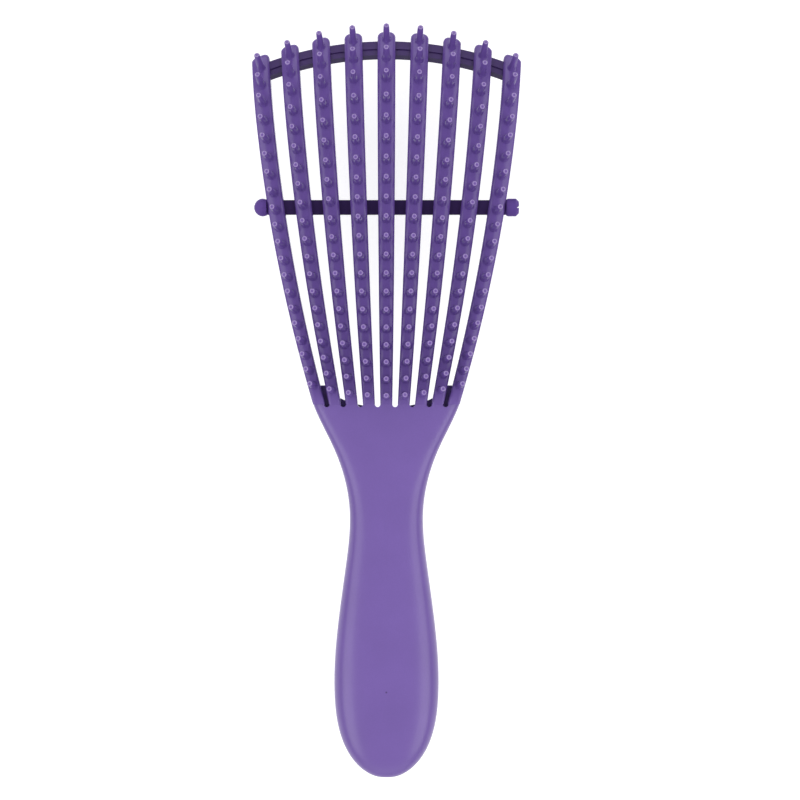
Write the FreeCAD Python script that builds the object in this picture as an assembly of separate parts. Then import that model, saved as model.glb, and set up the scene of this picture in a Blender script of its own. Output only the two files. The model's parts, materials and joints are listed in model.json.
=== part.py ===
import FreeCAD, Part
import math
import os

# Detangling brush, lying on its back with the pins up. Millimetres.
# +Y runs from the handle to the rib tips, +X goes across the ribs, +Z is up.
# While it is modelled, the origin is where the middle rib's front face meets the handle.

# Fan of ribs
RIB_COUNT = 9
RIB_LENGTH = 118.45
OUTER_RIB_SETBACK = 7.2
ROOT_SPACING = 5.45
ROD_SPACING = 8.67
TIP_SPACING = 10.6
ROOT_CROWDING = 0.2
ROD_CROWDING = 0.0
TIP_CROWDING = 0.48
RIB_ROOT_WIDTH = 3.75
RIB_ROD_WIDTH = 5.2
RIB_TIP_WIDTH = 5.7
RIB_DEPTH = 6.0
RIB_CHAMFER = 0.5
RIB_END_ROUND = 1.8
RIB_SLOPE = 2.3
OUTER_RIB_SLOPE = 3.4
BEND_RADIUS = 50.0
BEND_REACH = 22.0

# Pins moulded on the ribs
PINS_PER_RIB = 20
PIN_SIDES = 8
PIN_HEIGHT = 7.5
PIN_FOOT_RADIUS = 1.65
PIN_SKIRT_HEIGHT = 1.2
PIN_SHAFT_RADIUS = 1.15
PIN_TIP_RADIUS = 0.95
PIN_TIP_ROUND = 0.35
PIN_FOOT_SINK = 0.8
PIN_SPLAY = 1.8
FIRST_PIN = 2.5
OUTER_FIRST_PIN_RISE = 3.5
LAST_PIN_FROM_END = 3.3
OUTER_LAST_PIN_DROP = 2.0
PIN_PITCH_GROWTH = 1.35

# Root of each rib, where it bends on the handle
ROOT_GAP = 0.25
FLEX_ANGLE = 8.0
NOTCH_MARGIN = 1.0
HINGE_DROP = 0.25

# Bar through the rib tips
BAR_FROM_END = 5.6
BAR_WIDTH = 4.8
BAR_THICKNESS = 3.0
BAR_LIP_WIDTH = 2.0
BAR_LIP_DROP = 0.4
BAR_CLEARANCE = 0.35
BAR_FIT = 0.05
BAR_END_WALL = 1.0

# Rod through the middles of the ribs
ROD_FROM_ROOT = 62.0
ROD_WIDTH = 4.5
ROD_THICKNESS = 2.2
ROD_BELOW_FRONT = 3.7
ROD_CLEARANCE = 0.35
ROD_HEAD_CLEARANCE = 0.05
ROD_HEAD_RADIUS = 2.8
ROD_HEAD_LENGTH = 3.9
ROD_HEAD_FOOT_RADIUS = 2.55
ROD_HEAD_FOOT_LENGTH = 0.6
FORMED_HEAD_CHAMFER = 0.9
FORMED_HEAD_SLIT = 0.7
FORMED_HEAD_SLIT_DEPTH = 0.6

# Handle
HANDLE_LENGTH = 117.5
SHOULDER_MARGIN = 0.05
SHOULDER_DEPTH = 10.6
SHOULDER_FULLNESS = 1.0
FLARE_FROM_ROOT = 15.0
FLARE_WIDTH = 32.0
FLARE_DEPTH = 12.0
FLARE_FULLNESS = 0.9
NECK_FROM_ROOT = 34.0
NECK_WIDTH = 23.1
NECK_DEPTH = 14.0
NECK_FULLNESS = 0.8
WAIST_FROM_ROOT = 50.0
WAIST_WIDTH = 25.4
WAIST_DEPTH = 15.6
WAIST_FULLNESS = 0.78
PALM_FROM_ROOT = 67.0
PALM_WIDTH = 30.0
PALM_DEPTH = 17.0
PALM_FULLNESS = 0.77
GRIP_FROM_ROOT = 91.5
GRIP_WIDTH = 32.8
GRIP_DEPTH = 18.0
GRIP_FULLNESS = 0.75
PARTING_SHARE = 0.45
DOME_ANGLES = (30, 52, 70, 84)
DOME_SQUARENESS = 0.9
HORN_REACH = 6.0
HORN_CLEARANCE = 0.4
LEDGE_HALF_WIDTH = 19.2
LEDGE_RISE = 8.5
LEDGE_DIP = 1.0

PARTS_FOLDER = "parts"

# How far a cutting shape runs past what it cuts, and how close counts as touching
PAST = 5.0
NEAR = 0.01

MIDDLE = (RIB_COUNT - 1) // 2
ACROSS = FreeCAD.Vector(1, 0, 0)
ALONG = FreeCAD.Vector(0, 1, 0)


def parabola_through(low, mid, high):
    """The quadratic function through three (place, value) pairs."""
    (a, fa), (b, fb), (c, fc) = low, mid, high

    def value(at):
        return (
            fa * (at - b) * (at - c) / ((a - b) * (a - c))
            + fb * (at - a) * (at - c) / ((b - a) * (b - c))
            + fc * (at - a) * (at - b) / ((c - a) * (c - b))
        )

    return value


spacing_at = parabola_through(
    (0, ROOT_SPACING),
    (ROD_FROM_ROOT, ROD_SPACING),
    (RIB_LENGTH, TIP_SPACING),
)
crowding_at = parabola_through(
    (0, ROOT_CROWDING),
    (ROD_FROM_ROOT, ROD_CROWDING),
    (RIB_LENGTH, TIP_CROWDING),
)
width_at = parabola_through(
    (0, RIB_ROOT_WIDTH),
    (ROD_FROM_ROOT, RIB_ROD_WIDTH),
    (RIB_LENGTH, RIB_TIP_WIDTH),
)


def rib_offset(number, along):
    """How far a rib's centre line lies from the middle of the brush: the outer ribs are a little closer."""
    return number * (spacing_at(along) - crowding_at(along) * (number / MIDDLE) ** 2)


class FrontProfile:
    """Side view of one rib's front face: a sloped line, then an arc that curls back to the tip."""

    def __init__(self, number):
        outward = (number / MIDDLE) ** 2
        self.slope = math.radians(RIB_SLOPE + (OUTER_RIB_SLOPE - RIB_SLOPE) * outward)
        self.end = RIB_LENGTH - OUTER_RIB_SETBACK * outward
        self.bend = self.end - BEND_REACH
        self.straight = self.bend / math.cos(self.slope)
        self.end_slope = math.asin(math.sin(self.slope) + BEND_REACH / BEND_RADIUS)
        self.length = self.straight + BEND_RADIUS * (self.end_slope - self.slope)
        self.rim_slant = 2 * OUTER_RIB_SETBACK * number / MIDDLE**2 / TIP_SPACING

    def at(self, run, depth=0.0):
        """Point under the front face after this run along it, and the slope there."""
        if run <= self.straight:
            slope = self.slope
            along = run * math.cos(slope)
            drop = run * math.sin(slope)
        else:
            slope = self.slope + (run - self.straight) / BEND_RADIUS
            along = self.bend + BEND_RADIUS * (math.sin(slope) - math.sin(self.slope))
            drop = self.straight * math.sin(self.slope)
            drop += BEND_RADIUS * (math.cos(self.slope) - math.cos(slope))
        point = FreeCAD.Vector(0, along - depth * math.sin(slope), -drop - depth * math.cos(slope))
        return point, slope


def arc(start, middle, end):
    return Part.Arc(start, middle, end).toShape()


def line(start, end):
    return Part.LineSegment(start, end).toShape()


def parabola_edge(value, start, end):
    """The curve x = value(y) between two places along Y."""
    half = (start + end) / 2
    pole = 2 * value(half) - (value(start) + value(end)) / 2
    curve = Part.BezierCurve()
    curve.setPoles(
        [
            FreeCAD.Vector(value(start), start, 0),
            FreeCAD.Vector(pole, half, 0),
            FreeCAD.Vector(value(end), end, 0),
        ]
    )
    return curve.toShape()


def rib_plan(number, profile):
    """Outline of a rib from above, run past both ends, as an upright prism."""

    def edge_place(side):
        return lambda along: rib_offset(number, along) + side * width_at(along) / 2

    start = -PAST
    end = profile.end + PAST
    sides = [parabola_edge(edge_place(side), start, end) for side in (-1, 1)]
    caps = [
        line(FreeCAD.Vector(edge_place(-1)(y), y, 0), FreeCAD.Vector(edge_place(1)(y), y, 0))
        for y in (start, end)
    ]
    face = Part.Face(Part.Wire(Part.sortEdges(sides + caps)[0]))
    lowest = profile.at(profile.length, RIB_DEPTH)[0].z - PAST
    face.translate(FreeCAD.Vector(0, 0, lowest))
    return face.extrude(FreeCAD.Vector(0, 0, PAST - lowest))


def rib_side(profile):
    """Outline of a rib from the side, notched at its root and run past its end, as a wide prism."""
    notch = math.radians(FLEX_ANGLE + NOTCH_MARGIN)
    root = profile.at(ROOT_GAP / math.cos(profile.slope))[0]
    notch_length = RIB_DEPTH / math.cos(notch + profile.slope)
    root_back = root + FreeCAD.Vector(0, math.sin(notch), -math.cos(notch)) * notch_length
    past_end = profile.length + RIB_TIP_WIDTH
    halfway = (profile.straight + past_end) / 2
    bend, bend_back = (profile.at(profile.straight, depth)[0] for depth in (0, RIB_DEPTH))
    half, half_back = (profile.at(halfway, depth)[0] for depth in (0, RIB_DEPTH))
    end, end_back = (profile.at(past_end, depth)[0] for depth in (0, RIB_DEPTH))
    outline = Part.Wire(
        [
            line(root, bend),
            arc(bend, half, end),
            line(end, end_back),
            arc(end_back, half_back, bend_back),
            line(bend_back, root_back),
            line(root_back, root),
        ]
    )
    reach = MIDDLE * TIP_SPACING + RIB_TIP_WIDTH
    face = Part.Face(outline)
    face.translate(FreeCAD.Vector(-reach, 0, 0))
    return face.extrude(FreeCAD.Vector(2 * reach, 0, 0))


def front_edges(shape, number, profile):
    """The long edges where a rib's sides meet its front face."""
    found = []
    for edge in shape.Edges:
        middle = edge.valueAt((edge.FirstParameter + edge.LastParameter) / 2)
        run = profile.straight * middle.y / profile.bend
        if middle.y > profile.bend:
            slope = math.asin(math.sin(profile.slope) + (middle.y - profile.bend) / BEND_RADIUS)
            run = profile.straight + BEND_RADIUS * (slope - profile.slope)
        on_front = abs(middle.z - profile.at(run)[0].z) < NEAR
        aside = abs(middle.x - rib_offset(number, middle.y))
        on_side = abs(aside - width_at(middle.y) / 2) < NEAR
        if on_front and on_side:
            found.append(edge)
    return found


def end_trim(number, profile):
    """What is taken off past a rib's end, which is cut along the fan's rim and has rounded corners."""
    end, slope = profile.at(profile.length)
    onward = FreeCAD.Vector(0, math.cos(slope), -math.sin(slope))
    deeper = FreeCAD.Vector(0, -math.sin(slope), -math.cos(slope))
    rim_tilt = profile.rim_slant / math.cos(slope)

    def place(spot):
        return end - deeper * PAST + ACROSS * spot.x + onward * spot.y

    def corner(side):
        """Where the round of one corner leaves the rib's side, its middle, and where it meets the rim."""

        def edge(along):
            return rib_offset(number, along) + side * width_at(along) / 2

        drift = edge(end.y) - edge(end.y - math.cos(slope))
        from_middle = edge(end.y) - rib_offset(number, end.y)
        tip = FreeCAD.Vector(edge(end.y), -rim_tilt * from_middle)
        back = FreeCAD.Vector(-drift, -1)
        inward = FreeCAD.Vector(-side, side * rim_tilt)
        back.normalize()
        inward.normalize()
        diagonal = (back + inward) * (1 - math.sqrt(0.5))
        return [tip + step * RIB_END_ROUND for step in (back, diagonal, inward)]

    left = corner(-1)
    right = corner(1)
    aside = FreeCAD.Vector(PAST, 0)
    ahead = FreeCAD.Vector(0, 2 * PAST)
    outline = Part.Wire(
        [
            arc(*[place(spot) for spot in left]),
            line(place(left[2]), place(right[2])),
            arc(*[place(spot) for spot in reversed(right)]),
            line(place(right[0]), place(right[0] + aside)),
            line(place(right[0] + aside), place(right[0] + aside + ahead)),
            line(place(right[0] + aside + ahead), place(left[0] - aside + ahead)),
            line(place(left[0] - aside + ahead), place(left[0] - aside)),
            line(place(left[0] - aside), place(left[0])),
        ]
    )
    return Part.Face(outline).extrude(deeper * (RIB_DEPTH + 2 * PAST))


def ring(radius, height):
    turn = 2 * math.pi / PIN_SIDES
    return [
        FreeCAD.Vector(radius * math.cos((k + 0.5) * turn), radius * math.sin((k + 0.5) * turn), height)
        for k in range(PIN_SIDES)
    ]


def flat_face(points):
    return Part.Face(Part.makePolygon(points + points[:1]))


def make_pin(foot_radius):
    """One pin standing on the origin: a flared foot, a tapered shaft and a rounded-off tip."""
    rings = [
        ring(foot_radius, -PIN_FOOT_SINK),
        ring(foot_radius, 0),
        ring(PIN_SHAFT_RADIUS, PIN_SKIRT_HEIGHT),
        ring(PIN_TIP_RADIUS, PIN_HEIGHT - PIN_TIP_ROUND),
        ring(PIN_TIP_RADIUS - PIN_TIP_ROUND, PIN_HEIGHT),
    ]
    faces = [flat_face(rings[0]), flat_face(rings[-1])]
    for low, high in zip(rings, rings[1:]):
        for k in range(PIN_SIDES):
            after = (k + 1) % PIN_SIDES
            faces.append(flat_face([low[k], low[after], high[after], high[k]]))
    return Part.Solid(Part.Shell(faces))


def pin_runs(number, profile):
    """Places of the pins along a rib's front face, with a pitch that grows towards the tip."""
    outward = (number / MIDDLE) ** 2
    first = FIRST_PIN + OUTER_FIRST_PIN_RISE * outward
    last = profile.length - LAST_PIN_FROM_END - OUTER_LAST_PIN_DROP * outward
    steps = PINS_PER_RIB - 1
    growth = PIN_PITCH_GROWTH - 1
    for k in range(PINS_PER_RIB):
        share = (k + growth * k * k / (2 * steps)) / (steps + growth * steps / 2)
        yield first + share * (last - first)


def rib_pins(number, profile):
    pins = []
    for run in pin_runs(number, profile):
        foot, slope = profile.at(run)
        flat_front = width_at(foot.y) / 2 - RIB_CHAMFER
        placed = make_pin(min(PIN_FOOT_RADIUS, flat_front))
        placed.rotate(FreeCAD.Vector(), ACROSS, -math.degrees(slope))
        placed.rotate(FreeCAD.Vector(), ALONG, PIN_SPLAY * number)
        placed.translate(foot + FreeCAD.Vector(rib_offset(number, foot.y), 0, 0))
        pins.append(placed)
    return pins


def make_rib(number, eye, rod_slot):
    profile = FrontProfile(number)
    strip = rib_plan(number, profile).common(rib_side(profile)).Solids[0]
    strip = strip.makeChamfer(RIB_CHAMFER, front_edges(strip, number, profile))
    shaped = strip.cut([end_trim(number, profile), eye, rod_slot])
    return shaped.fuse(rib_pins(number, profile)).Solids[0]


def rib_name(number):
    return f"rib_{number + MIDDLE + 1}"


def bar_place(number):
    """Middle of the bar where it crosses a rib, and the slope of the rib there."""
    profile = FrontProfile(number)
    point, slope = profile.at(profile.length - BAR_FROM_END, RIB_DEPTH / 2)
    point.x = rib_offset(number, point.y)
    return point, slope


class BarArc:
    """The circle that the bar follows through the rib tips."""

    def __init__(self):
        self.top, self.slope = bar_place(0)
        side = bar_place(MIDDLE)[0]
        drop = FreeCAD.Vector(0, side.y - self.top.y, side.z - self.top.z)
        sag = drop.Length
        down = drop / sag
        self.radius = (side.x**2 + sag**2) / (2 * sag)
        self.centre = self.top + down * self.radius
        self.axis = down.cross(ACROSS)
        self.outer_angle = math.degrees(math.asin(side.x / self.radius))

    def sweep(self, section, half_angle):
        """A section drawn at the middle of the bar, turned about the circle's axis to both sides."""
        face = section.copy()
        face.rotate(self.centre, self.axis, -half_angle)
        return face.revolve(self.centre, self.axis, 2 * half_angle)

    def section_point(self, along, up):
        tangent = FreeCAD.Vector(0, math.cos(self.slope), -math.sin(self.slope))
        normal = FreeCAD.Vector(0, math.sin(self.slope), math.cos(self.slope))
        return self.top + tangent * along + normal * up


def bar_end_angle(bar_arc):
    inside = RIB_TIP_WIDTH / 2 - BAR_END_WALL
    return bar_arc.outer_angle + math.degrees(inside / bar_arc.radius)


def make_bar(bar_arc):
    """Strip with a lip along its handle side, set back from the rest of its front face."""
    half = BAR_WIDTH / 2
    rise = BAR_THICKNESS / 2
    corners = [
        (-half, -rise),
        (half, -rise),
        (half, rise),
        (-half + BAR_LIP_WIDTH, rise),
        (-half + BAR_LIP_WIDTH, rise - BAR_LIP_DROP),
        (-half, rise - BAR_LIP_DROP),
    ]
    section = flat_face([bar_arc.section_point(*corner) for corner in corners])
    return bar_arc.sweep(section, bar_end_angle(bar_arc))


def bar_eye(bar_arc, clearance, half_angle):
    half = BAR_WIDTH / 2 + clearance
    rise = BAR_THICKNESS / 2 + clearance
    corners = [(-half, -rise), (half, -rise), (half, rise), (-half, rise)]
    section = flat_face([bar_arc.section_point(*corner) for corner in corners])
    return bar_arc.sweep(section, half_angle)


def rod_place():
    """Middle of the straight rod, inside the middle rib."""
    level = -ROD_FROM_ROOT * math.tan(FrontProfile(0).slope) - ROD_BELOW_FRONT
    return FreeCAD.Vector(0, ROD_FROM_ROOT, level)


def rod_end():
    """Distance from the middle to each head, which clears the slanted side of the outer rib."""
    head_edge = ROD_FROM_ROOT + ROD_HEAD_FOOT_RADIUS
    return rib_offset(MIDDLE, head_edge) + width_at(head_edge) / 2 + ROD_HEAD_CLEARANCE


def rod_strip(clearance, reach):
    """Flat strip across all the ribs at the rod's place."""
    wide = ROD_WIDTH + 2 * clearance
    thick = ROD_THICKNESS + 2 * clearance
    corner = rod_place() - FreeCAD.Vector(reach, wide / 2, thick / 2)
    return Part.makeBox(2 * reach, wide, thick, corner)


def head_solid(outline):
    """Turned head with its axis along +X from the rod's middle, from an outline of (x, radius) points."""
    edges = [part if isinstance(part, Part.Edge) else line(*part) for part in outline]
    face = Part.Face(Part.Wire(edges))
    turned = face.revolve(FreeCAD.Vector(), ACROSS, 360)
    turned.translate(rod_place())
    return turned


def at_radius(x, radius):
    return FreeCAD.Vector(x, radius, 0)


def moulded_head():
    """Mushroom head on the rod's first end."""
    crown = ROD_HEAD_LENGTH - ROD_HEAD_RADIUS
    diagonal = ROD_HEAD_RADIUS * math.sqrt(0.5)
    dome = arc(
        at_radius(crown, ROD_HEAD_RADIUS),
        at_radius(crown + diagonal, diagonal),
        at_radius(ROD_HEAD_LENGTH, 0),
    )
    return head_solid(
        [
            (at_radius(0, 0), at_radius(0, ROD_HEAD_FOOT_RADIUS)),
            (at_radius(0, ROD_HEAD_FOOT_RADIUS), at_radius(crown, ROD_HEAD_RADIUS)),
            dome,
            (at_radius(ROD_HEAD_LENGTH, 0), at_radius(0, 0)),
        ]
    )


def formed_head():
    """Squarer head with a slit end, pressed over once the rod is threaded through."""
    shoulder = ROD_HEAD_LENGTH - FORMED_HEAD_CHAMFER
    rim = ROD_HEAD_RADIUS - FORMED_HEAD_CHAMFER
    head = head_solid(
        [
            (at_radius(0, 0), at_radius(0, ROD_HEAD_FOOT_RADIUS)),
            (at_radius(0, ROD_HEAD_FOOT_RADIUS), at_radius(ROD_HEAD_FOOT_LENGTH, ROD_HEAD_RADIUS)),
            (at_radius(ROD_HEAD_FOOT_LENGTH, ROD_HEAD_RADIUS), at_radius(shoulder, ROD_HEAD_RADIUS)),
            (at_radius(shoulder, ROD_HEAD_RADIUS), at_radius(ROD_HEAD_LENGTH, rim)),
            (at_radius(ROD_HEAD_LENGTH, rim), at_radius(ROD_HEAD_LENGTH, 0)),
            (at_radius(ROD_HEAD_LENGTH, 0), at_radius(0, 0)),
        ]
    )
    box = head.BoundBox
    slit = Part.makeBox(FORMED_HEAD_SLIT_DEPTH + PAST, FORMED_HEAD_SLIT, box.ZLength + 2 * PAST)
    slit.translate(
        FreeCAD.Vector(
            ROD_HEAD_LENGTH - FORMED_HEAD_SLIT_DEPTH,
            ROD_FROM_ROOT - FORMED_HEAD_SLIT / 2,
            box.ZMin - PAST,
        )
    )
    return head.cut(slit)


def make_rod():
    reach = rod_end()
    right = formed_head()
    right.translate(ACROSS * reach)
    left = moulded_head().mirror(FreeCAD.Vector(), ACROSS)
    left.translate(ACROSS * -reach)
    return rod_strip(0, reach).fuse([left, right]).removeSplitter().Solids[0]


def handle_section(along, half_width, front, back, fullness):
    """Cross-section of the handle: four curves that are squarer the fuller they are."""
    parting = front + (back - front) * PARTING_SHARE

    def quarter(side, level):
        """From the middle of the front or back round to the parting line on one side."""
        curve = Part.BezierCurve()
        curve.setPoles(
            [
                FreeCAD.Vector(0, along, level),
                FreeCAD.Vector(side * half_width * fullness, along, level),
                FreeCAD.Vector(side * half_width, along, parting + (level - parting) * fullness),
                FreeCAD.Vector(side * half_width, along, parting),
            ]
        )
        return curve.toShape()

    quarters = [quarter(1, front), quarter(1, back), quarter(-1, back), quarter(-1, front)]
    return Part.Wire(quarters)


def handle_body():
    """Loft from behind the outer ribs, through the shoulders, neck and grip, to the domed end."""

    def shoulder(along):
        return rib_offset(MIDDLE, along) + width_at(along) / 2 + SHOULDER_MARGIN

    sections = [
        handle_section(HORN_REACH, shoulder(HORN_REACH), 0, -SHOULDER_DEPTH, SHOULDER_FULLNESS),
        handle_section(0, shoulder(0), 0, -SHOULDER_DEPTH, SHOULDER_FULLNESS),
        handle_section(-FLARE_FROM_ROOT, FLARE_WIDTH / 2, 0, -FLARE_DEPTH, FLARE_FULLNESS),
        handle_section(-NECK_FROM_ROOT, NECK_WIDTH / 2, 0, -NECK_DEPTH, NECK_FULLNESS),
        handle_section(-WAIST_FROM_ROOT, WAIST_WIDTH / 2, 0, -WAIST_DEPTH, WAIST_FULLNESS),
        handle_section(-PALM_FROM_ROOT, PALM_WIDTH / 2, 0, -PALM_DEPTH, PALM_FULLNESS),
        handle_section(-GRIP_FROM_ROOT, GRIP_WIDTH / 2, 0, -GRIP_DEPTH, GRIP_FULLNESS),
    ]
    middle = -GRIP_DEPTH * PARTING_SHARE
    for degrees in DOME_ANGLES:
        turn = math.radians(degrees)
        narrower = math.cos(turn) ** DOME_SQUARENESS
        thinner = math.sqrt(math.cos(turn))
        sections.append(
            handle_section(
                -GRIP_FROM_ROOT - (HANDLE_LENGTH - GRIP_FROM_ROOT) * math.sin(turn),
                GRIP_WIDTH / 2 * narrower,
                middle * (1 - thinner),
                middle - (GRIP_DEPTH + middle) * thinner,
                GRIP_FULLNESS,
            )
        )
    return Part.makeLoft(sections, True, False)


def ledge_depth():
    """Depth of the handle's ledge, clear of the ribs' backs when the head is bent back."""
    slope = FrontProfile(MIDDLE).slope
    swing = HORN_REACH * math.tan(math.radians(FLEX_ANGLE) + slope)
    return RIB_DEPTH / math.cos(slope) + swing + HORN_CLEARANCE


def make_handle():
    body = handle_body()
    wide = 2 * (MIDDLE * TIP_SPACING + RIB_TIP_WIDTH)
    ledge = ledge_depth()
    head_space = Part.makeBox(wide, HORN_REACH + PAST, ledge + PAST, FreeCAD.Vector(-wide / 2, 0, -ledge))
    gaps = []
    for step in range(RIB_COUNT - 1):
        middle = rib_offset(step - MIDDLE + 0.5, 0)
        radius = (ROOT_SPACING - RIB_ROOT_WIDTH) / 2
        gaps.append(Part.makeCylinder(radius, ledge + PAST, FreeCAD.Vector(middle, 0, -ledge)))
    ellipse = Part.Ellipse(
        FreeCAD.Vector(LEDGE_HALF_WIDTH, LEDGE_RISE - LEDGE_DIP, 0),
        FreeCAD.Vector(0, 2 * LEDGE_RISE - LEDGE_DIP, 0),
        FreeCAD.Vector(0, LEDGE_RISE - LEDGE_DIP, 0),
    )
    bay_face = Part.Face(Part.Wire(ellipse.toShape()))
    bay_face.translate(FreeCAD.Vector(0, 0, -SHOULDER_DEPTH - PAST))
    bay = bay_face.extrude(FreeCAD.Vector(0, 0, SHOULDER_DEPTH + PAST - ledge))
    return body.cut([head_space, bay] + gaps).Solids[0]


def build():
    bar_arc = BarArc()
    end_angle = bar_end_angle(bar_arc)
    past_angle = end_angle + math.degrees(PAST / bar_arc.radius)
    open_eye = bar_eye(bar_arc, BAR_CLEARANCE, past_angle)
    blind_eye = bar_eye(bar_arc, BAR_FIT, end_angle)
    rod_slot = rod_strip(ROD_CLEARANCE, rod_end() + PAST)
    shapes = {"handle": make_handle()}
    for number in range(-MIDDLE, 1):
        eye = blind_eye if number == -MIDDLE else open_eye
        rib = make_rib(number, eye, rod_slot)
        shapes[rib_name(number)] = rib
        if number < 0:
            shapes[rib_name(-number)] = rib.mirror(FreeCAD.Vector(), ACROSS)
    shapes["tip_bar"] = make_bar(bar_arc)
    shapes["cross_rod"] = make_rod()
    return shapes


def stand_on_origin(shapes):
    """The move that puts the middle of the resting surface under the brush at the origin."""
    box = FreeCAD.BoundBox()
    for shape in shapes.values():
        box.add(shape.optimalBoundingBox(False))
    return FreeCAD.Vector(-box.Center.x, -box.Center.y, -box.ZMin)


def main():
    os.makedirs(PARTS_FOLDER, exist_ok=True)
    shapes = build()
    move = stand_on_origin(shapes)
    for name, shape in shapes.items():
        placed = shape.translated(move)
        placed.exportStep(f"{PARTS_FOLDER}/{name}.step")
        print(name, "volume", round(placed.Volume, 2), "valid", placed.isValid())
    hinge = move + FreeCAD.Vector(0, 0, -HINGE_DROP)
    print("head hinge", [round(value, 4) for value in hinge])
    for number in range(1 - MIDDLE, MIDDLE):
        root = move + FreeCAD.Vector(rib_offset(number, 0), 0, 0)
        print(rib_name(number), "root", [round(value, 4) for value in root])


main()
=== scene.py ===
import json
import math

import bmesh
import bpy
from bpy.props import FloatProperty, FloatVectorProperty, IntProperty, PointerProperty
from mathutils import Matrix, Vector


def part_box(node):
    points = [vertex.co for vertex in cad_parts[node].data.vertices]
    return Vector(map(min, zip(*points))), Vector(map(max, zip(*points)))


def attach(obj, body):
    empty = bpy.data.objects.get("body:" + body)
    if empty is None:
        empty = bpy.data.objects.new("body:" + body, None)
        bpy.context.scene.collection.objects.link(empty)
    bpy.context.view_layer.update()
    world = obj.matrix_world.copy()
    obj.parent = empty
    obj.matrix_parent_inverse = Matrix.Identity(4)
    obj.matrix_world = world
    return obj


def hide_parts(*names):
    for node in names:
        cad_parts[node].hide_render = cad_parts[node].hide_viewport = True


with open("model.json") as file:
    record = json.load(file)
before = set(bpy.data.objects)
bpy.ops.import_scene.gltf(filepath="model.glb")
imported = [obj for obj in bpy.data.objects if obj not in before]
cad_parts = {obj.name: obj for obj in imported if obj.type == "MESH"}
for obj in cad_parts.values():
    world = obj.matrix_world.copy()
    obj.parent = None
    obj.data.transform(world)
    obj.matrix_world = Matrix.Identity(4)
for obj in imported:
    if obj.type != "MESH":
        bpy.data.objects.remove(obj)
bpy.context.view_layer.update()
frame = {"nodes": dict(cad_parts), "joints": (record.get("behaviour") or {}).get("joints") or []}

bl_info = {
    "name": "Detangling Brush",
    "version": (1, 0, 0),
    "blender": (4, 5, 0),
    "location": "3D View > Sidebar > Brush",
    "description": "Dresses a detangling brush with moulded ribs, round pins and satin plastic",
    "category": "Object",
}

JOINT_PLACES = {joint["name"]: Vector(joint["pos_m"]) for joint in frame["joints"]}
RIB_COUNT = sum(name.startswith("rib_") for name in frame["nodes"])
MIDDLE = (RIB_COUNT - 1) // 2
ROOT = JOINT_PLACES[f"rib_{MIDDLE + 1}_sway"]

MM = 0.001

# Points nearer to each other than this are one point
SAME_PLACE = 1e-6
# Points nearer to a cut than this lie on it
CUT_SNAP = 1e-7

# Steps round the corners of a rib's end and round its long edges, and along its straight part and its curl
CORNER_STEPS = 4
EDGE_STEPS = 3
STRAIGHT_STEPS = 20
BEND_STEPS = 12
# Lengthwise cuts that carry the crown of a rib's front, as shares of half its width
CROWN_CUTS = (-0.32, 0.0, 0.32)
# A face counts as one of a rib's sides where this much of its normal points aside
SIDEWAYS = 0.9

# The attribute that holds the painted highlight on the rim of each pin's tip, and the power by which this
# painted highlight fades away from the rim
TIP_HIGHLIGHT = "pin_tip_painted_highlight"
TIP_HIGHLIGHT_FADE = 2.0

# The mark that the mould's gate leaves on the handle's front
GATE_FROM_ROOT = 89.8 * MM
GATE_RADIUS = 0.4 * MM
GATE_SHADE = 0.5

# How far inside the rod's end its heads' own colour starts to take over from the painted shade of the rod
# between the ribs, and where it is full
HEAD_TINT_START = 5.0 * MM
HEAD_TINT_FULL = 4.0 * MM

# Light that the floor adds for the camera and for reflections, which brings it up to white
FLOOR_LIFT = 0.74
# Strength of the light that comes evenly from all round
WORLD_LIGHT = 0.35

# Softboxes at both sides, in metres and watts: distance, height and width, then each one's place along
# the brush, its span along it and its power
SIDE_LIGHT_AWAY = 0.48
SIDE_LIGHT_HEIGHT = 0.44
SIDE_LIGHT_WIDTH = 0.4
SIDE_LIGHTS = {"head": (0.16, 0.58, 1.25), "grip": (-0.365, 0.47, 1.5)}


def length(name, description, millimetres):
    return FloatProperty(
        name=name,
        description=description,
        default=millimetres * MM,
        min=0.0,
        precision=5,
        unit="LENGTH",
    )


def angle(name, description, degrees):
    return FloatProperty(
        name=name,
        description=description,
        default=math.radians(degrees),
        subtype="ANGLE",
    )


def linear(channel):
    """One channel of a screen colour, from 0 to 255, as light."""
    share = channel / 255
    if share <= 0.04045:
        return share / 12.92
    return ((share + 0.055) / 1.055) ** 2.4


def colour(name, description, red, green, blue):
    return FloatVectorProperty(
        name=name,
        description=description,
        default=(linear(red), linear(green), linear(blue)),
        size=3,
        min=0.0,
        max=1.0,
        subtype="COLOR",
    )


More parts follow.
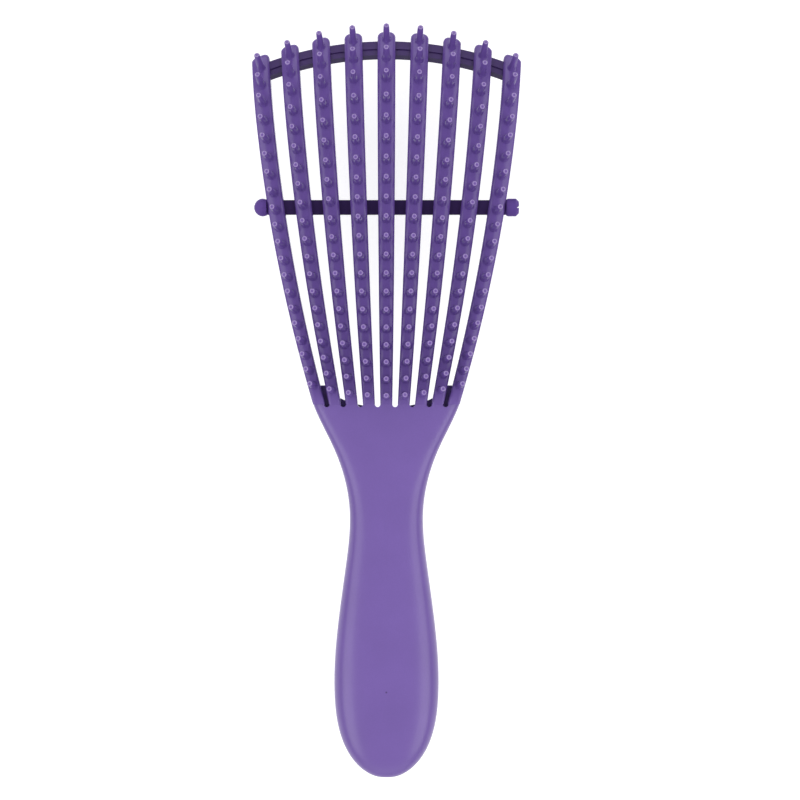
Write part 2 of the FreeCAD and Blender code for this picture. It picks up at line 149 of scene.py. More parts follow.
class BrushFan(bpy.types.PropertyGroup):
    """Sizes of the fan of ribs."""

    rib_length: length("Rib length", "Middle rib, from the handle to its tip", 118.45)
    outer_setback: length("Outer setback", "How much shorter the outer ribs reach", 7.2)
    root_spacing: length("Root spacing", "Between the middle ribs at the handle", 5.45)
    rod_spacing: length("Rod spacing", "Between the middle ribs at the rod", 8.67)
    tip_spacing: length("Tip spacing", "Between the middle ribs at their tips", 10.6)
    root_crowding: length("Root crowding", "How much closer the outermost ribs are at the handle", 0.2)
    rod_crowding: length("Rod crowding", "How much closer the outermost ribs are at the rod", 0.0)
    tip_crowding: length("Tip crowding", "How much closer the outermost ribs are at their tips", 0.48)
    root_width: length("Root width", "Width of a rib at the handle", 3.75)
    rod_width: length("Width at the rod", "Width of a rib at the rod", 5.2)
    tip_width: length("Tip width", "Width of a rib at its tip", 5.7)
    depth: length("Depth", "Depth of a rib from front to back", 6.0)
    slope: angle("Slope", "Slope of the middle rib", 2.3)
    outer_slope: angle("Outer slope", "Slope of the outermost ribs", 3.4)
    bend_radius: length("Bend radius", "Radius of the curl at the tip", 50.0)
    bend_reach: length("Bend reach", "Length of the curl, seen from the front", 22.0)
    edge_round: length("Edge rounding", "Radius of a rib's long edges", 0.95)
    crown: length("Crown", "How much lower a rib's front is at its edges", 0.5)
    crown_depth: length("Crown depth", "How deep under a rib's front its crown is felt", 1.0)
    crown_start: length("Crown start", "Length of a rib's root that fades into the handle", 15.0)
    end_round: length("End rounding", "Radius of the corners at a rib's end", 1.8)
    rim_zone: length("Rim zone", "Length of a rib's end that slants to follow the fan's rim", 4.0)
    root_overlap: length("Root overlap", "How far a rib reaches past its root line", 0.05)
    root_dip: length("Root dip", "How far a rib's front sinks past its root line", 0.03)
    # Over this length the ribs' painted shade fades into the handle's colour
    root_shade_fade: length("Root blend", "Length over which a rib fades into the tint of the handle", 6.0)
    root_notch: angle("Root notch", "Open wedge behind a rib's root", 9.0)


class BrushPins(bpy.types.PropertyGroup):
    """Sizes of the pins moulded on the ribs."""

    per_rib: IntProperty(name="Pins per rib", description="Pins in a row", default=20, min=2)
    sides: IntProperty(name="Sides", description="Steps round a pin", default=12, min=6)
    height: length("Height", "From the rib's front to the pin's tip", 7.4)
    foot_radius: length("Foot radius", "Radius of the flared foot", 1.65)
    foot_sink: length("Foot sink", "How far the foot goes into the rib", 0.35)
    skirt: length("Skirt height", "Height of the flare", 1.3)
    shaft_radius: length("Shaft radius", "Radius above the flare", 1.1)
    tip_radius: length("Tip radius", "Radius under the rounded tip", 0.9)
    tip_round: length("Tip rounding", "Rounding of the tip", 0.3)
    dimple: length("Tip dimple", "Depth of the dimple in the tip", 0.2)
    splay: angle("Splay", "How much more each row leans outwards", 1.8)
    first: length("First pin", "From the root to the first pin", 2.5)
    outer_first: length("Outer first pin", "How much later the outer rows begin", 3.5)
    last: length("Last pin", "From the last pin to the rib's end", 3.3)
    outer_last: length("Outer last pin", "How much earlier the outer rows end", 2.0)
    pitch_growth: FloatProperty(
        name="Pitch growth",
        description="Pitch at the tip as a share of the pitch at the root",
        default=1.35,
    )


class BrushCross(bpy.types.PropertyGroup):
    """Sizes of the bar and the rod that cross the ribs."""

    bar_from_end: length("Bar place", "From a rib's end to the middle of the bar", 5.6)
    bar_width: length("Bar width", "Width of the bar", 4.8)
    bar_thickness: length("Bar thickness", "Thickness of the bar", 3.0)
    rod_from_root: length("Rod place", "From the root line to the middle of the rod", 62.0)
    rod_width: length("Rod width", "Width of the rod", 4.5)
    rod_thickness: length("Rod thickness", "Thickness of the rod", 2.2)
    rod_below: length("Rod depth", "From the middle rib's front to the rod's middle", 3.7)
    clearance: length("Clearance", "Room around the bar and the rod", 0.35)


class BrushColours(bpy.types.PropertyGroup):
    """Colours of the plastic."""

    handle: colour("Handle", "Handle plastic", 117, 93, 165)
    # The ribs' colour is the handle's plastic darkened with painted shade, for the shade among the pins
    rib: colour("Ribs", "Rib plastic", 104, 78, 153)
    # The pin tips' colour is a painted highlight on the rims of their tips
    pin_tip_highlight: colour("Pin tips", "Rubbed rims of the pin tips", 166, 144, 200)
    # The bar is darkened with painted shade for the ribs' shadow on it
    bar: colour("Bar", "Plastic of the bar at the tips", 67, 45, 103)
    # The rod between the ribs is darkened with painted shade for the ribs' shadow; its heads keep the
    # plastic's own colour
    rod: colour("Rod", "Plastic of the rod between the ribs", 55, 37, 85)
    rod_head: colour("Rod heads", "The rod's worked ends", 98, 72, 148)


class BrushStage(bpy.types.PropertyGroup):
    """Camera and floor."""

    camera_height: length("Camera height", "Camera above the handle's front", 600.0)
    view_width: length("View width", "Width that the picture shows at the handle's front", 249.4)
    aim_x: length("Aim across", "Picture's middle, across the brush", 4.27)
    aim_y: length("Aim along", "Picture's middle, along the brush", 0.4)
    floor_size: length("Floor size", "Side of the floor", 3000.0)
    floor_drop: length("Floor drop", "Room under the brush for the head to bend down", 17.5)


def parabola(low, middle, high, at):
    """Value at a place of the quadratic through three (place, value) pairs."""
    (a, fa), (b, fb), (c, fc) = low, middle, high
    return (
        fa * (at - b) * (at - c) / ((a - b) * (a - c))
        + fb * (at - a) * (at - c) / ((b - a) * (b - c))
        + fc * (at - a) * (at - b) / ((c - a) * (c - b))
    )


class RibPath:
    """Where one rib runs: a sloped line on its front face, then an arc that curls back to the tip."""

    def __init__(self, number):
        self.fan = bpy.context.scene.brush_fan
        self.cross = bpy.context.scene.brush_cross
        self.number = number
        self.outward = (number / MIDDLE) ** 2
        self.slope = self.fan.slope + (self.fan.outer_slope - self.fan.slope) * self.outward
        self.bend = self.fan.rib_length - self.fan.outer_setback * self.outward - self.fan.bend_reach
        self.straight = self.bend / math.cos(self.slope)
        end_slope = math.asin(math.sin(self.slope) + self.fan.bend_reach / self.fan.bend_radius)
        self.length = self.straight + self.fan.bend_radius * (end_slope - self.slope)
        rim_slant = 2 * self.fan.outer_setback * number / MIDDLE**2 / self.fan.tip_spacing
        self.rim_tilt = rim_slant / math.cos(end_slope)

    def centre(self, along):
        fan = self.fan
        stations = (0, self.cross.rod_from_root, fan.rib_length)
        spacings = (fan.root_spacing, fan.rod_spacing, fan.tip_spacing)
        crowdings = (fan.root_crowding, fan.rod_crowding, fan.tip_crowding)
        spacing = parabola(*zip(stations, spacings), along)
        return self.number * (spacing - self.outward * parabola(*zip(stations, crowdings), along))

    def half_width(self, along):
        fan = self.fan
        stations = (0, self.cross.rod_from_root, fan.rib_length)
        widths = (fan.root_width, fan.rod_width, fan.tip_width)
        return parabola(*zip(stations, widths), along) / 2

    def slope_at(self, run):
        return self.slope + max(0.0, run - self.straight) / self.fan.bend_radius

    def point(self, run, depth=0.0, aside=0.0):
        """Point after this run along the front, this deep under it, aside by a share of the half width."""
        slope = self.slope_at(run)
        line = min(run, self.straight)
        radius = self.fan.bend_radius
        along = line * math.cos(self.slope) + radius * (math.sin(slope) - math.sin(self.slope))
        drop = line * math.sin(self.slope) + radius * (math.cos(self.slope) - math.cos(slope))
        along -= depth * math.sin(slope)
        across = self.centre(along) + aside * self.half_width(along)
        return ROOT + Vector((across, along, -drop - depth * math.cos(slope)))

    def run_at(self, along, depth):
        """Run along the front above a point this far along the brush and this deep."""
        line = (along + depth * math.sin(self.slope)) / math.cos(self.slope)
        if line <= self.straight:
            return line
        radius = self.fan.bend_radius
        sine = (along - self.bend + radius * math.sin(self.slope)) / (radius - depth)
        return self.straight + radius * (math.asin(sine) - self.slope)


class BarLine:
    """The circle that the bar follows from one outer rib to the other."""

    def __init__(self):
        top = self.crossing(0)
        side = self.crossing(MIDDLE)
        drop = Vector((0, side.y - top.y, side.z - top.z))
        self.top = top
        self.down = drop.normalized()
        self.radius = (side.x**2 + drop.length_squared) / (2 * drop.length)

    @staticmethod
    def crossing(number):
        path = RibPath(number)
        return path.point(path.length - path.cross.bar_from_end, path.fan.depth / 2)

    def along(self, across):
        """How far along the brush, from the root line, the bar's middle is at this place across."""
        sag = self.radius - math.sqrt(self.radius**2 - across**2)
        return self.top.y + self.down.y * sag - ROOT.y


def everything(shape):
    return shape.verts[:] + shape.edges[:] + shape.faces[:]


def slice_across(shape, place, normal):
    bmesh.ops.bisect_plane(shape, geom=everything(shape), plane_co=place, plane_no=normal, dist=CUT_SNAP)


def round_edges(shape, edges, radius, segments):
    bmesh.ops.bevel(
        shape,
        geom=edges,
        offset=radius,
        offset_type="OFFSET",
        segments=segments,
        profile=0.5,
        affect="EDGES",
        clamp_overlap=True,
        material=-1,
    )


def between(value, low, high):
    return low < value < high


def open_tunnel(shape, runs, top, bottom):
    """Open a way from side to side of a straight rib: runs holds the range on each side, left and right."""
    for level in (top, bottom):
        slice_across(shape, (0, 0, level), (0, 0, 1))
    for start, end in runs:
        for run in (start, end):
            slice_across(shape, (0, run, 0), (0, 1, 0))
    rims = []
    for side, (start, end) in zip((-1, 1), runs):
        cell = []
        for face in shape.faces:
            middle = face.calc_center_median()
            inside = between(middle.y, start, end) and between(middle.z, bottom, top)
            if inside and face.normal.x * side > SIDEWAYS:
                cell.append(face)
        rim = [edge for face in cell for edge in face.edges]
        rims += [edge for edge in set(rim) if sum(face in cell for face in edge.link_faces) == 1]
        bmesh.ops.delete(shape, geom=cell, context="FACES")
    bmesh.ops.bridge_loops(shape, edges=[edge for edge in rims if edge.is_valid])


def straight_rib(path, bar_line):
    """A rib before it is bent to its path: straight along Y, its front at Z 0, as wide as at its tip."""
    fan = path.fan
    cross = path.cross
    shape = bmesh.new()
    shape.verts.layers.float.new(TIP_HIGHLIGHT)
    bmesh.ops.create_cube(shape, size=1.0)
    size = Vector((fan.tip_width, path.length + fan.root_overlap, fan.depth))
    bmesh.ops.scale(shape, vec=size, verts=shape.verts)
    middle = Vector((0, (path.length - fan.root_overlap) / 2, -fan.depth / 2))
    bmesh.ops.translate(shape, vec=middle, verts=shape.verts)

    half = fan.tip_width / 2

    def on_plane(edge, axis, place):
        return all(abs(vert.co[axis] - place) < SAME_PLACE for vert in edge.verts)

    def is_end_corner(edge):
        aside = on_plane(edge, 0, half) or on_plane(edge, 0, -half)
        return aside and on_plane(edge, 1, path.length)

    def is_rim(edge):
        level = on_plane(edge, 2, 0) or on_plane(edge, 2, -fan.depth)
        return level and not on_plane(edge, 1, -fan.root_overlap)

    corners = [edge for edge in shape.edges if is_end_corner(edge)]
    round_edges(shape, corners, fan.end_round, CORNER_STEPS)
    rims = [edge for edge in shape.edges if is_rim(edge)]
    round_edges(shape, rims, fan.edge_round, EDGE_STEPS)

    for share in CROWN_CUTS:
        slice_across(shape, (share * half, 0, 0), (1, 0, 0))
    for step in range(1, STRAIGHT_STEPS + 1):
        slice_across(shape, (0, path.straight * step / STRAIGHT_STEPS, 0), (0, 1, 0))
    for step in range(1, BEND_STEPS):
        run = path.straight + (path.length - path.straight) * step / BEND_STEPS
        slice_across(shape, (0, run, 0), (0, 1, 0))

    rod_level = -cross.rod_from_root * math.tan(fan.slope) - cross.rod_below
    rod_run = cross.rod_from_root * math.cos(path.slope) - rod_level * math.sin(path.slope)
    rod_depth = -cross.rod_from_root * math.sin(path.slope) - rod_level * math.cos(path.slope)
    reach = cross.rod_width / 2 + cross.clearance
    rise = cross.rod_thickness / 2 + cross.clearance
    rod_runs = [(rod_run - reach, rod_run + reach)] * 2
    open_tunnel(shape, rod_runs, -rod_depth + rise, -rod_depth - rise)

    if abs(path.number) < MIDDLE:
        depth = fan.depth / 2
        crossing = path.point(path.length - cross.bar_from_end, depth)
        stretch = fan.bend_radius / (fan.bend_radius - depth)
        reach = (cross.bar_width / 2 + cross.clearance) * stretch
        rise = cross.bar_thickness / 2 + cross.clearance
        runs = []
        for side in (-1, 1):
            edge = crossing.x + side * path.half_width(crossing.y - ROOT.y)
            run = path.run_at(bar_line.along(edge), depth)
            runs.append((run - reach, run + reach))
        open_tunnel(shape, runs, -depth + rise, -depth - rise)
    return shape


def bend_to_path(shape, path):
    """Bend a straight rib to its path, with an open wedge behind its root and its end along the rim.

    Past the root the front is crowned, and rolled outwards as much as the pins on it lean.
    """
    fan = path.fan
    roll = math.tan(bpy.context.scene.brush_pins.splay * path.number)
    for vert in shape.verts:
        run = vert.co.y
        depth = -vert.co.z
        if run < 0:
            run += depth * math.tan(fan.root_notch + path.slope)
            depth += fan.root_dip
        aside = vert.co.x / (fan.tip_width / 2)
        in_front = max(0.0, 1 - depth / fan.crown_depth)
        past_root = min(max(0.0, run / fan.crown_start), 1.0)
        depth += in_front * past_root * (fan.crown * aside**2 + roll * vert.co.x)
        near_rim = max(0.0, 1 - (path.length - run) / fan.rim_zone)
        run -= near_rim * path.rim_tilt * vert.co.x
        vert.co = path.point(run, depth, aside)


def round_pin(pins, foot_radius):
    """One pin on the origin: a flared foot, a tapered shaft and a rounded tip with a dimple.

    Each step of its outline is a radius, a level and how much painted highlight it gets on the rim of the
    tip.
    """
    flare_radius = pins.shaft_radius + (foot_radius - pins.shaft_radius) * 0.35
    flare_level = pins.skirt * 0.25
    rim_radius = pins.tip_radius - pins.tip_round * 0.7
    outline = [
        (foot_radius, -pins.foot_sink, 0.0),
        (flare_radius, flare_level, 0.0),
        (pins.shaft_radius, pins.skirt, 0.0),
        (pins.tip_radius, pins.height - pins.tip_round, 0.0),
        (rim_radius, pins.height, 1.0),
        (0.0, pins.height - pins.dimple, 0.0),
    ]
    shape = bmesh.new()
    highlight_layer = shape.verts.layers.float.new(TIP_HIGHLIGHT)
    verts = []
    for radius, level, highlighted in outline:
        vert = shape.verts.new((radius, 0, level))
        vert[highlight_layer] = highlighted
        verts.append(vert)
    edges = [shape.edges.new(pair) for pair in zip(verts, verts[1:])]
    bmesh.ops.spin(
        shape,
        geom=verts + edges,
        cent=(0, 0, 0),
        axis=(0, 0, 1),
        angle=2 * math.pi,
        steps=pins.sides,
        use_merge=True,
        use_duplicate=False,
    )
    bmesh.ops.remove_doubles(shape, verts=shape.verts, dist=SAME_PLACE)
    foot = [edge for edge in shape.edges if edge.is_boundary]
    bmesh.ops.holes_fill(shape, edges=foot, sides=pins.sides)
    bmesh.ops.recalc_face_normals(shape, faces=shape.faces)
    return shape


def pin_runs(path, pins):
    """Places of the pins along a rib, with a pitch that grows towards the tip."""
    first = pins.first + pins.outer_first * path.outward
    last = path.length - pins.last - pins.outer_last * path.outward
    steps = pins.per_rib - 1
    growth = pins.pitch_growth - 1
    for k in range(pins.per_rib):
        share = (k + growth * k * k / (2 * steps)) / (steps + growth * steps / 2)
        yield first + share * (last - first)


def add_pins(shape, path):
    """Stand a row of pins on a rib, each foot no wider than the flat of the rib's front."""
    pins = bpy.context.scene.brush_pins
    pattern = bpy.data.meshes.new("pin_pattern")
    for run in pin_runs(path, pins):
        foot = path.point(run)
        flat_front = path.half_width(foot.y - ROOT.y) - path.fan.edge_round / 2
        model = round_pin(pins, min(pins.foot_radius, flat_front))
        lean = Matrix.Rotation(pins.splay * path.number, 4, "Y")
        tilt = Matrix.Rotation(-path.slope_at(run), 4, "X")
        bmesh.ops.transform(model, matrix=Matrix.Translation(foot) @ lean @ tilt, verts=model.verts)
        model.to_mesh(pattern)
        model.free()
        shape.from_mesh(pattern)
    bpy.data.meshes.remove(pattern)


def smooth_shading(shape, crease):
    for face in shape.faces:
        face.smooth = True
    for edge in shape.edges:
        edge.smooth = edge.calc_face_angle(0.0) < crease


def finished_piece(shape, name, material, body, node):
    """Make a shape the visible piece that stands for a CAD node."""
    mesh = bpy.data.meshes.new(name)
    shape.to_mesh(mesh)
    shape.free()
    mesh.materials.append(material)
    piece = bpy.data.objects.new(name, mesh)
    bpy.context.scene.collection.objects.link(piece)
    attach(piece, body)
    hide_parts(node)


def copy_of_node(node):
    """A node's mesh with its triangles joined at their corners."""
    shape = bmesh.new()
    shape.from_mesh(frame["nodes"][node].data)
    bmesh.ops.remove_doubles(shape, verts=shape.verts, dist=SAME_PLACE)
    flat = math.radians(0.5)
    bmesh.ops.dissolve_limit(shape, angle_limit=flat, verts=shape.verts, edges=shape.edges)
    return shape


def add_node(tree, kind, x, y, **values):
    """A shader node with its properties set, at a place in the editor."""
    node = tree.nodes.new(kind)
    node.location = (x, y)
    for name, value in values.items():
        setattr(node, name, value)
    return node


def moulded_plastic(name, tint, rub_stretch, roughness, shine=0.4):
    """Satin moulded plastic: faint flow clouds, fine speckle, drawn-out rub marks and a soft grain."""
    material = bpy.data.materials.new(name)
    material.use_nodes = True
    tree = material.node_tree
    link = tree.links.new
    shader = tree.nodes["Principled BSDF"]
    shader.inputs["IOR"].default_value = 1.49
    shader.inputs["Specular IOR Level"].default_value = shine

    where = add_node(tree, "ShaderNodeTexCoord", -1500, 0)
    clouds = add_node(tree, "ShaderNodeTexNoise", -1100, 300)
    clouds.inputs["Scale"].default_value = 55.0
    clouds.inputs["Detail"].default_value = 4.0
    link(where.outputs["Object"], clouds.inputs["Vector"])

    speckle = add_node(tree, "ShaderNodeTexNoise", -1100, 0)
    speckle.inputs["Scale"].default_value = 2600.0
    speckle.inputs["Detail"].default_value = 2.0
    link(where.outputs["Object"], speckle.inputs["Vector"])

    rub_scale = 1800.0
    stretch = add_node(tree, "ShaderNodeMapping", -1300, -350)
    stretch.inputs["Scale"].default_value = (rub_scale, rub_scale * rub_stretch, rub_scale)
    link(where.outputs["Object"], stretch.inputs["Vector"])
    rubs = add_node(tree, "ShaderNodeTexNoise", -1100, -350)
    rubs.inputs["Scale"].default_value = 1.0
    rubs.inputs["Detail"].default_value = 3.0
    link(stretch.outputs["Vector"], rubs.inputs["Vector"])

    darker = [channel * 0.96 for channel in tint]
    lighter = [channel * 1.04 for channel in tint]
    ramp = add_node(tree, "ShaderNodeValToRGB", -850, 300)
    ramp.color_ramp.elements[0].position = 0.3
    ramp.color_ramp.elements[0].color = (*darker, 1.0)
    ramp.color_ramp.elements[1].position = 0.7
    ramp.color_ramp.elements[1].color = (*lighter, 1.0)
    link(clouds.outputs["Fac"], ramp.inputs["Fac"])

    fleck = add_node(tree, "ShaderNodeMix", -500, 200, data_type="RGBA", blend_type="OVERLAY")
    fleck.inputs["Factor"].default_value = 0.06
    link(ramp.outputs["Color"], fleck.inputs["A"])
    link(speckle.outputs["Fac"], fleck.inputs["B"])
    link(fleck.outputs["Result"], shader.inputs["Base Color"])

    polish = add_node(tree, "ShaderNodeMapRange", -500, -200)
    polish.inputs["From Min"].default_value = 0.3
    polish.inputs["From Max"].default_value = 0.7
    polish.inputs["To Min"].default_value = roughness - 0.004
    polish.inputs["To Max"].default_value = roughness + 0.006
    link(rubs.outputs["Fac"], polish.inputs["Value"])
    link(polish.outputs["Result"], shader.inputs["Roughness"])

    grain = add_node(tree, "ShaderNodeBump", -250, -400)
    grain.inputs["Strength"].default_value = 0.04
    grain.inputs["Distance"].default_value = 0.05 * MM
    link(speckle.outputs["Fac"], grain.inputs["Height"])
    link(grain.outputs["Normal"], shader.inputs["Normal"])

    return material


def tint_where(material, share, tint):
    """Blend a second tint into a plastic's colour by a share that another node gives."""
    tree = material.node_tree
    colour_socket = tree.nodes["Principled BSDF"].inputs["Base Color"]
    first = colour_socket.links[0].from_socket
    blend = add_node(tree, "ShaderNodeMix", -250, 500, data_type="RGBA")
    tree.links.new(share, blend.inputs["Factor"])
    tree.links.new(first, blend.inputs["A"])
    blend.inputs["B"].default_value = (*tint, 1.0)
    tree.links.new(blend.outputs["Result"], colour_socket)


def heads_free_of_painted_shade(material, tint):
    """Give the rod's heads, at both ends across the brush, the plastic's own colour, where the painted
    shade of the rod between the ribs ends.
    """
    tree = material.node_tree
    link = tree.links.new
    rod_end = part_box("cross_rod")[1].x
    where = add_node(tree, "ShaderNodeTexCoord", -1300, 600)
    split = add_node(tree, "ShaderNodeSeparateXYZ", -1100, 600)
    link(where.outputs["Object"], split.inputs["Vector"])
    far = add_node(tree, "ShaderNodeMath", -900, 600, operation="ABSOLUTE")
    link(split.outputs["X"], far.inputs[0])
    share = add_node(tree, "ShaderNodeMapRange", -700, 600)
    share.inputs["From Min"].default_value = rod_end - HEAD_TINT_START
    share.inputs["From Max"].default_value = rod_end - HEAD_TINT_FULL
    link(far.outputs["Value"], share.inputs["Value"])
    tint_where(material, share.outputs["Result"], tint)


def gate_mark(material, spot, radius, tint):
    """Darken the small round mark that the mould's gate leaves."""
    tree = material.node_tree
    link = tree.links.new
    where = add_node(tree, "ShaderNodeTexCoord", -1300, 600)
    far = add_node(tree, "ShaderNodeVectorMath", -1100, 600, operation="DISTANCE")
    link(where.outputs["Object"], far.inputs[0])
    far.inputs[1].default_value = spot
    share = add_node(tree, "ShaderNodeMapRange", -900, 600)
    share.inputs["From Min"].default_value = radius
    share.inputs["From Max"].default_value = radius / 2
    link(far.outputs["Value"], share.inputs["Value"])
    tint_where(material, share.outputs["Result"], tint)


def painted_tip_highlights(material, tint):
    """Paint a pale highlight on the rims of the pins' tips."""
    tree = material.node_tree
    highlighted = add_node(tree, "ShaderNodeAttribute", -900, 600, attribute_name=TIP_HIGHLIGHT)
    thin = add_node(tree, "ShaderNodeMath", -700, 600, operation="POWER")
    tree.links.new(highlighted.outputs["Fac"], thin.inputs[0])
    thin.inputs[1].default_value = TIP_HIGHLIGHT_FADE
    tint_where(material, thin.outputs["Value"], tint)


def rib_shade_fade_at_roots(material, reach, tint):
    """Fade the ribs' painted shade out into the handle's own colour over their first stretch."""
    tree = material.node_tree
    link = tree.links.new
    where = add_node(tree, "ShaderNodeTexCoord", -1300, 900)
    split = add_node(tree, "ShaderNodeSeparateXYZ", -1100, 900)
    link(where.outputs["Object"], split.inputs["Vector"])
    share = add_node(tree, "ShaderNodeMapRange", -900, 900)
    share.inputs["From Min"].default_value = ROOT.y + reach
    share.inputs["From Max"].default_value = ROOT.y
    link(split.outputs["Y"], share.inputs["Value"])
    tint_where(material, share.outputs["Result"], tint)


class BRUSH_OT_add_handle(bpy.types.Operator):
    """Add the handle, smoothed over its CAD solid"""

    bl_idname = "brush.add_handle"
    bl_label = "Add Handle"

    def execute(self, context):
        shape = copy_of_node("handle")
        smooth_shading(shape, crease=math.radians(35))
        tint = context.scene.brush_colours.handle
        material = moulded_plastic("handle_plastic", tint, rub_stretch=0.05, roughness=0.28)
        spot = ROOT - Vector((0, GATE_FROM_ROOT, 0))
        gate_mark(material, spot, GATE_RADIUS, [channel * GATE_SHADE for channel in tint])
        finished_piece(shape, "handle_moulding", material, "handle", "handle")
        return {"FINISHED"}


class BRUSH_OT_add_ribs(bpy.types.Operator):
    """Add the fan of ribs with their round pins"""

    bl_idname = "brush.add_ribs"
    bl_label = "Add Ribs"

    def execute(self, context):
        colours = context.scene.brush_colours
        # The ribs' colour holds painted shade, which fades into the handle's colour at the roots
        material = moulded_plastic("rib_plastic", colours.rib, rub_stretch=0.1, roughness=0.2)
        rib_shade_fade_at_roots(material, context.scene.brush_fan.root_shade_fade, colours.handle)
        # Painted highlights on the rims of the pin tips
        painted_tip_highlights(material, colours.pin_tip_highlight)
        bar_line = BarLine()
        for number in range(-MIDDLE, MIDDLE + 1):
            node = f"rib_{number + MIDDLE + 1}"
            path = RibPath(number)
            shape = straight_rib(path, bar_line)
            bend_to_path(shape, path)
            add_pins(shape, path)
            smooth_shading(shape, crease=math.radians(40))
            body = node if abs(number) < MIDDLE else "head_frame"
            finished_piece(shape, f"{node}_moulding", material, body, node)
        return {"FINISHED"}


class BRUSH_OT_add_tip_bar(bpy.types.Operator):
    """Add the curved bar through the rib tips"""

    bl_idname = "brush.add_tip_bar"
    bl_label = "Add Tip Bar"

    def execute(self, context):
        shape = copy_of_node("tip_bar")
        smooth_shading(shape, crease=math.radians(30))
        # The bar's colour is the plastic darkened with painted shade
        tint = context.scene.brush_colours.bar
        material = moulded_plastic("bar_plastic", tint, rub_stretch=1.0, roughness=0.4, shine=0.25)
        finished_piece(shape, "tip_bar_moulding", material, "head_frame", "tip_bar")
        return {"FINISHED"}


class BRUSH_OT_add_cross_rod(bpy.types.Operator):
    """Add the rod through the middles of the ribs"""

    bl_idname = "brush.add_cross_rod"
    bl_label = "Add Cross Rod"

    def execute(self, context):
        shape = copy_of_node("cross_rod")
        smooth_shading(shape, crease=math.radians(30))
        colours = context.scene.brush_colours
        # The rod's colour is painted shade for the ribs' shadow on it; its heads get the plastic's own
        # colour
        material = moulded_plastic("rod_plastic", colours.rod, rub_stretch=1.0, roughness=0.5, shine=0.1)
        heads_free_of_painted_shade(material, colours.rod_head)
        finished_piece(shape, "cross_rod_moulding", material, "head_frame", "cross_rod")
        return {"FINISHED"}


def pale_floor():
    """A pale floor that the camera and reflections see as white, with the brush's soft shadow."""
    material = bpy.data.materials.new("pale_floor")
    material.use_nodes = True
    tree = material.node_tree
    link = tree.links.new
    shader = tree.nodes["Principled BSDF"]
    shader.inputs["Base Color"].default_value = (0.55, 0.55, 0.56, 1.0)
    shader.inputs["Roughness"].default_value = 0.9
    shader.inputs["Emission Color"].default_value = (1.0, 1.0, 1.0, 1.0)
    ray = add_node(tree, "ShaderNodeLightPath", -700, -200)
    seen = add_node(tree, "ShaderNodeMath", -500, -200, operation="MAXIMUM")
    link(ray.outputs["Is Camera Ray"], seen.inputs[0])
    link(ray.outputs["Is Glossy Ray"], seen.inputs[1])
    lift = add_node(tree, "ShaderNodeMath", -300, -200, operation="MULTIPLY")
    link(seen.outputs["Value"], lift.inputs[0])
    lift.inputs[1].default_value = FLOOR_LIFT
    link(lift.outputs["Value"], shader.inputs["Emission Strength"])
    return material


def add_softbox(name, place, aim, size, watts):
    lamp = bpy.data.lights.new(name, "AREA")
    lamp.shape = "RECTANGLE"
    lamp.size, lamp.size_y = size
    lamp.energy = watts
    softbox = bpy.data.objects.new(name, lamp)
    softbox.location = place
    softbox.rotation_euler = (Vector(aim) - Vector(place)).to_track_quat("-Z", "Y").to_euler()
    bpy.context.scene.collection.objects.link(softbox)


def add_world(strength):
    """An even soft light all round, which the camera sees as white."""
    world = bpy.data.worlds.new("studio")
    world.use_nodes = True
    tree = world.node_tree
    background = tree.nodes["Background"]
    background.inputs["Color"].default_value = (1.0, 1.0, 1.0, 1.0)
    ray = add_node(tree, "ShaderNodeLightPath", -600, 0)
    seen = add_node(tree, "ShaderNodeMapRange", -300, 0)
    seen.inputs["To Min"].default_value = strength
    tree.links.new(ray.outputs["Is Camera Ray"], seen.inputs["Value"])
    tree.links.new(seen.outputs["Result"], background.inputs["Strength"])
    bpy.context.scene.world = world


def add_camera(stage):
    camera = bpy.data.cameras.new("photo_camera")
    camera.sensor_fit = "HORIZONTAL"
    camera.lens = camera.sensor_width * stage.camera_height / stage.view_width
    camera.clip_start = 0.01
    viewer = bpy.data.objects.new("photo_camera", camera)
    viewer.location = (stage.aim_x, stage.aim_y, ROOT.z + stage.camera_height)
    bpy.context.scene.collection.objects.link(viewer)
    bpy.context.scene.camera = viewer


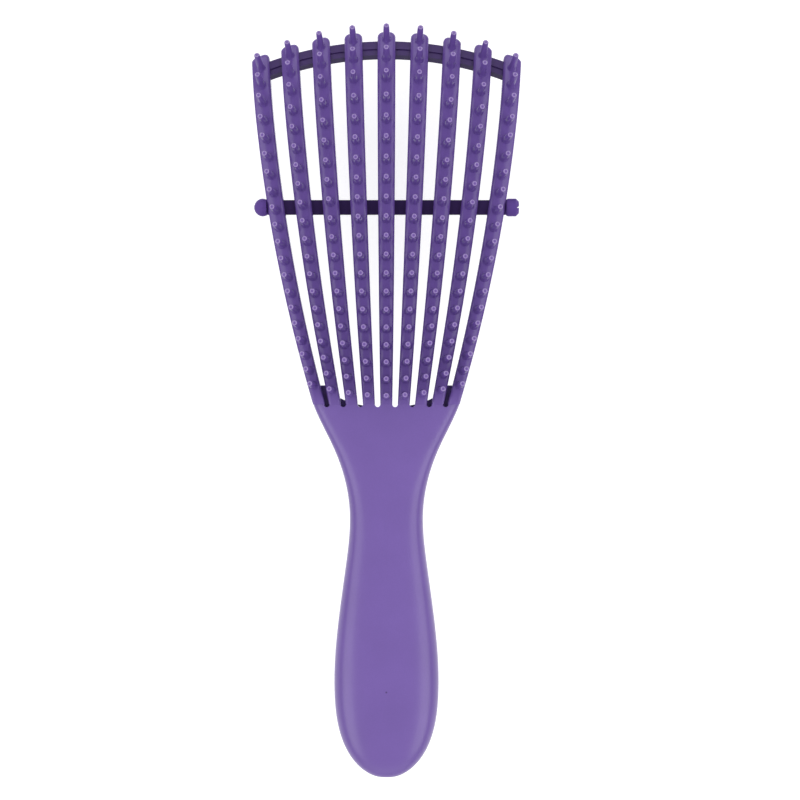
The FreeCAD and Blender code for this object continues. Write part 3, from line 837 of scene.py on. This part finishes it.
class BRUSH_OT_add_stage(bpy.types.Operator):
    """Add the floor, the soft light and the camera"""

    bl_idname = "brush.add_stage"
    bl_label = "Add Stage"

    def execute(self, context):
        stage = context.scene.brush_stage
        shape = bmesh.new()
        bmesh.ops.create_grid(shape, x_segments=1, y_segments=1, size=stage.floor_size / 2)
        mesh = bpy.data.meshes.new("floor")
        shape.to_mesh(mesh)
        shape.free()
        mesh.materials.append(pale_floor())
        floor = bpy.data.objects.new("floor", mesh)
        floor.location.z = -stage.floor_drop
        context.scene.collection.objects.link(floor)
        for side, name in ((-1, "left"), (1, "right")):
            for part, (along, span, watts) in SIDE_LIGHTS.items():
                place = (SIDE_LIGHT_AWAY * side, along, SIDE_LIGHT_HEIGHT)
                size = (span, SIDE_LIGHT_WIDTH)
                add_softbox(f"{name}_{part}_softbox", place, (0, along, 0), size, watts)
        add_softbox("top_softbox", place=(0, 0.75, 0.4), aim=(0, 0.06, 0), size=(0.9, 0.5), watts=2.0)
        add_softbox("end_softbox", place=(0, -0.75, 0.3), aim=(0, -0.1, 0), size=(0.9, 0.4), watts=0.8)
        add_world(WORLD_LIGHT)
        add_camera(stage)
        context.scene.view_settings.view_transform = "Standard"
        return {"FINISHED"}


class BRUSH_PT_sidebar(bpy.types.Panel):
    """Lists the brush's pieces"""

    bl_idname = "BRUSH_PT_sidebar"
    bl_label = "Detangling Brush"
    bl_space_type = "VIEW_3D"
    bl_region_type = "UI"
    bl_category = "Brush"

    def draw(self, context):
        for operator in OPERATORS:
            self.layout.operator(operator.bl_idname)


GROUPS = {
    "brush_fan": BrushFan,
    "brush_pins": BrushPins,
    "brush_cross": BrushCross,
    "brush_colours": BrushColours,
    "brush_stage": BrushStage,
}
OPERATORS = (
    BRUSH_OT_add_handle,
    BRUSH_OT_add_ribs,
    BRUSH_OT_add_tip_bar,
    BRUSH_OT_add_cross_rod,
    BRUSH_OT_add_stage,
)


def register():
    for name, group in GROUPS.items():
        bpy.utils.register_class(group)
        setattr(bpy.types.Scene, name, PointerProperty(type=group))
    for operator in OPERATORS:
        bpy.utils.register_class(operator)
    bpy.utils.register_class(BRUSH_PT_sidebar)


def unregister():
    bpy.utils.unregister_class(BRUSH_PT_sidebar)
    for operator in reversed(OPERATORS):
        bpy.utils.unregister_class(operator)
    for name, group in reversed(GROUPS.items()):
        delattr(bpy.types.Scene, name)
        bpy.utils.unregister_class(group)


def main():
    register()
    bpy.ops.brush.add_handle()
    bpy.ops.brush.add_ribs()
    bpy.ops.brush.add_tip_bar()
    bpy.ops.brush.add_cross_rod()
    bpy.ops.brush.add_stage()


if __name__ == "__main__":
    main()
